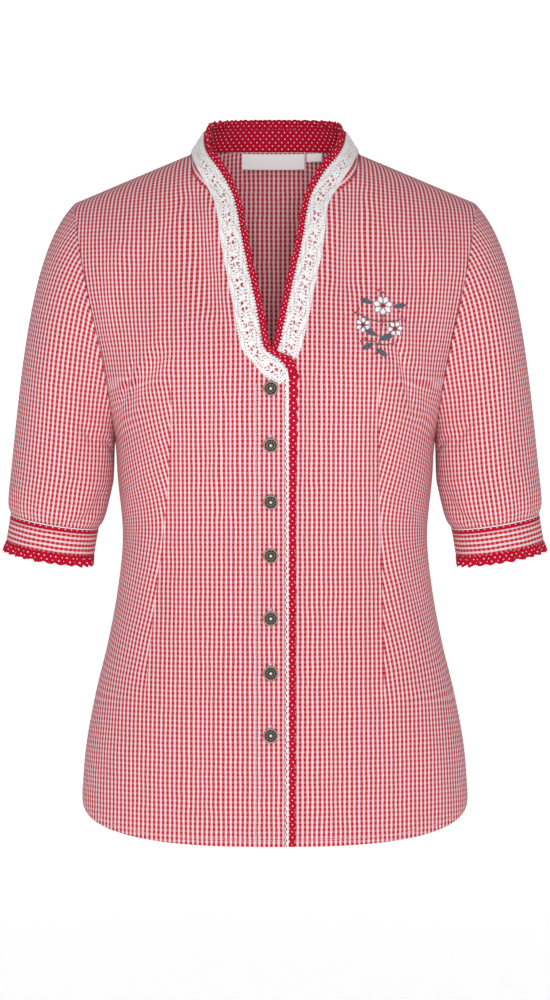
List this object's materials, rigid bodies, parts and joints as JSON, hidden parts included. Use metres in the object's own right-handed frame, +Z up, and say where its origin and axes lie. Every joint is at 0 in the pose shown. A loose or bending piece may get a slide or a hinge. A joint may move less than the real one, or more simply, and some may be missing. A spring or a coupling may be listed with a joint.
{
  "type": "dirndl blouse",
  "caption": "Hollow worn-form gingham blouse with stand collar, lace-edged V neck, front placket, elbow-length sleeves with cuffs and a curved shirt-tail hem.",
  "frame": {"origin": "middle of the neck opening, level with the neck ends of the shoulder seams, where the wearer's neck and shoulders hold the blouse", "axes": "+Z up, +X towards the wearer's left, -Y the buttoned front"},
  "size_m": [0.5074, 0.2405, 0.6725],
  "materials": {
    "gingham_cotton": "plain-weave cotton in a small red and white gingham",
    "pin_dot_cotton": "crimson cotton with white pin dots",
    "cotton_lace": "white cotton bobbin lace",
    "cotton_piping": "white cotton piping",
    "pewter": "antique pewter, cast, dark in the recesses",
    "woven_label": "white woven satin label, bare"
  },
  "bodies": {
    "root": {"front_right": "gingham_cotton", "front_left": "gingham_cotton", "back": "gingham_cotton", "sleeve_right": "gingham_cotton", "sleeve_left": "gingham_cotton", "collar_stand": "gingham_cotton", "cuff_right": "gingham_cotton", "cuff_left": "gingham_cotton", "collar_facing": "pin_dot_cotton", "ruffle_neck": "pin_dot_cotton", "ruffle_front": "pin_dot_cotton", "cuff_binding_right": "pin_dot_cotton", "cuff_binding_left": "pin_dot_cotton", "cuff_ruffle_right": "pin_dot_cotton", "cuff_ruffle_left": "pin_dot_cotton", "lace_right": "cotton_lace", "lace_left": "cotton_lace", "picot_trim": "cotton_lace", "cuff_piping_right": "cotton_piping", "cuff_piping_left": "cotton_piping", "button_1": "pewter", "button_2": "pewter", "button_3": "pewter", "button_4": "pewter", "button_5": "pewter", "button_6": "pewter", "button_7": "pewter", "neck_label": "woven_label", "size_label": "woven_label"}
  },
  "joints": []
}
